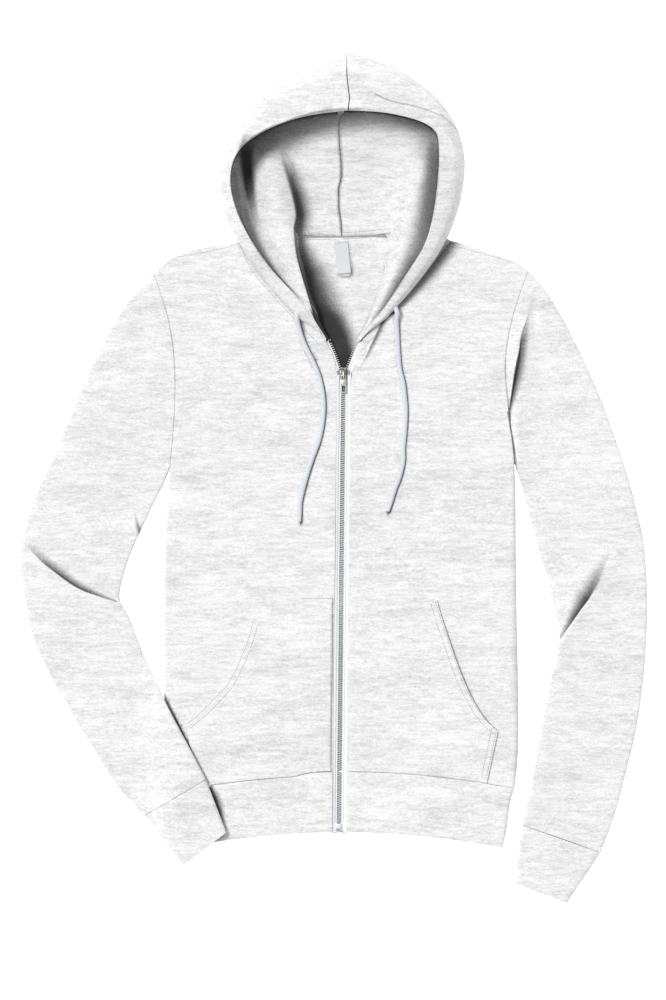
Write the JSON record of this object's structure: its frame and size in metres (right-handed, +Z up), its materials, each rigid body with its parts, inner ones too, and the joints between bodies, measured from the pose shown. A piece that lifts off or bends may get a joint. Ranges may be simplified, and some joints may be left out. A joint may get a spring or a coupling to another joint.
{
  "type": "zip up hoodie",
  "caption": "Heather fleece zip up hoodie laid flat on its back, hood open upward, with set-in sleeves, patch pockets, rib cuffs and hem, drawcords and a metal zip.",
  "frame": {"origin": "middle of the laid garment's bounding box, on the surface that it lies on", "axes": "+X towards the wearer's left sleeve, +Y from the hem to the hood, +Z up from the surface through the front"},
  "size_m": [0.7419, 1.004, 0.063],
  "materials": {
    "fleece": "ash white heather cotton fleece, plain knit face with grey streaks, matte",
    "rib": "ash white heather rib knit, matte",
    "tape": "pale blue white woven polyester tape",
    "chain": "small silver zip teeth, satin",
    "nickel": "antique nickel, satin and slightly dulled",
    "cord": "pale blue white braided cotton cord",
    "label": "bare white satin weave label"
  },
  "bodies": {
    "garment": {"back_panel": "fleece", "front_right": "fleece", "front_left": "fleece", "sleeve_right": "fleece", "sleeve_left": "fleece", "cuff_right": "rib", "cuff_left": "rib", "hem_band": "rib", "hood_right": "fleece", "hood_left": "fleece", "pocket_right": "fleece", "pocket_left": "fleece", "zip_tape_right": "tape", "zip_tape_left": "tape", "zip_chain_right": "chain", "zip_chain_left": "chain", "zip_slider": "nickel", "zip_bottom_stop": "chain", "drawcord_right": "cord", "drawcord_left": "cord", "neck_label": "label"},
    "pull_tab": {"zip_pull": "nickel"}
  },
  "joints": [
    {"name": "pull_hinge", "type": "hinge", "parent": "garment", "child": "pull_tab", "pos_m": [0.0098, 0.121, 0.0087], "axis": [-1, 0, 0], "range_deg": [0, 150]}
  ]
}
